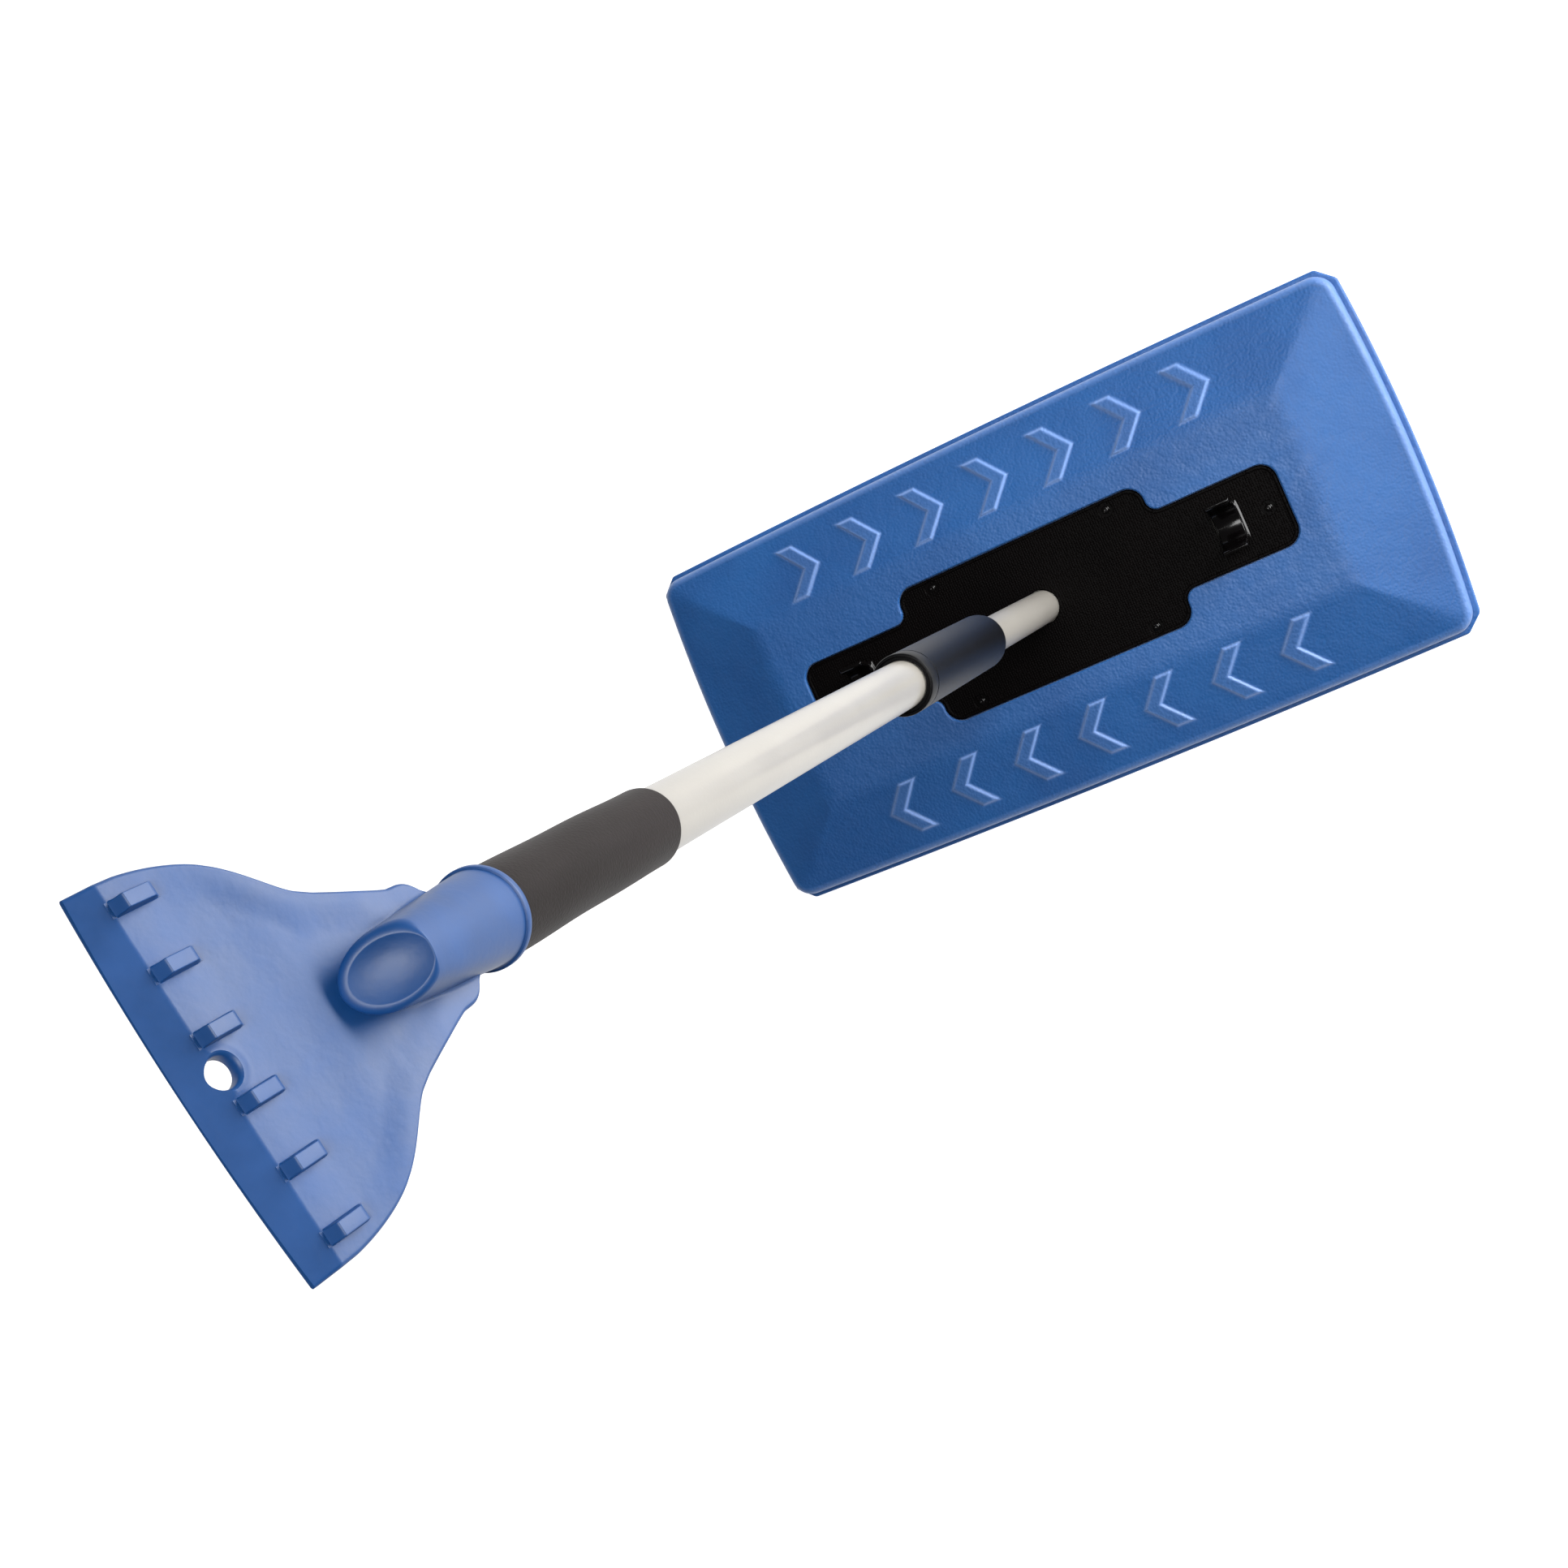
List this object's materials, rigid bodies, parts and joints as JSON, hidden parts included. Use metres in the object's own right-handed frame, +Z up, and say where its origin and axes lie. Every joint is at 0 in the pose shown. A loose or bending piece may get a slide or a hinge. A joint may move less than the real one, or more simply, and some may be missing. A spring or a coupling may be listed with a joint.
{
  "type": "snow broom with ice scraper",
  "caption": "Telescoping snow broom: a foam push head on a twist-lock pole with a foam grip and a moulded fan-shaped ice scraper at the other end.",
  "frame": {"origin": "on the pole's axis at the push face of the foam head, which is the centre of the underside of the whole object", "axes": "+Z up the pole from the head to the scraper, +X along the head's long side, +Y across the head"},
  "size_m": [0.462, 0.23, 0.8946],
  "materials": {
    "head_foam": "moulded closed-cell foam with a pebbled skin",
    "black_plastic": "moulded, fine leather grain",
    "pale_nylon": "moulded nylon",
    "plated_steel": "zinc plated",
    "seal_rubber": "black rubber",
    "coated_tube": "powder-coated steel tube, semi-gloss warm grey",
    "grip_foam": "black-brown foam sleeve",
    "scraper_plastic": "satin moulded polycarbonate blend"
  },
  "bodies": {
    "head": {"foam_face": "head_foam", "foam_cover": "head_foam", "mount_plate": "black_plastic", "stiffener_plate": "black_plastic", "thread_insert": "pale_nylon", "plate_rivets": "black_plastic", "rivet_washers": "plated_steel"},
    "seal": {"seal_washer": "seal_rubber"},
    "lower_pole": {"thread_tip": "black_plastic", "tip_pin": "plated_steel", "inner_tube": "coated_tube", "spindle_plug": "black_plastic", "plug_pin": "plated_steel", "spindle_screw": "plated_steel"},
    "lock_cam": {"cam_ring": "pale_nylon"},
    "lock_disc": {"guide_disc": "pale_nylon"},
    "upper_pole": {"outer_tube": "coated_tube", "lock_collar": "black_plastic", "slide_bush": "pale_nylon", "grip_sleeve": "grip_foam", "ice_scraper": "scraper_plastic", "end_plug": "black_plastic", "scraper_screw": "plated_steel"}
  },
  "joints": [
    {"name": "pole_withdraw", "type": "slide", "parent": "head", "child": "seal", "axis": [0, 0, 1], "range_m": [0, 0.0179]},
    {"name": "pole_unscrew", "type": "hinge", "parent": "seal", "child": "lower_pole", "pos_m": [0, 0, 0.3], "axis": [0, 0, 1], "range_deg": [0, 1260]},
    {"name": "cam_turn", "type": "hinge", "parent": "lower_pole", "child": "lock_cam", "pos_m": [0.0004, 0, 0.755], "axis": [0, 0, 1], "range_deg": [-121, 121]},
    {"name": "lock_twist", "type": "hinge", "parent": "lower_pole", "child": "lock_disc", "pos_m": [0, 0, 0.5], "axis": [0, 0, 1], "range_deg": [-120, 120]},
    {"name": "telescope", "type": "slide", "parent": "lock_disc", "child": "upper_pole", "axis": [0, 0, 1], "range_m": [0, 0.42]}
  ],
  "couplings": [
    {"joint": "pole_withdraw", "follows": "pole_unscrew", "m_per_rad": 0.00080851},
    {"joint": "cam_turn", "follows": "lock_twist", "ratio": 1}
  ]
}
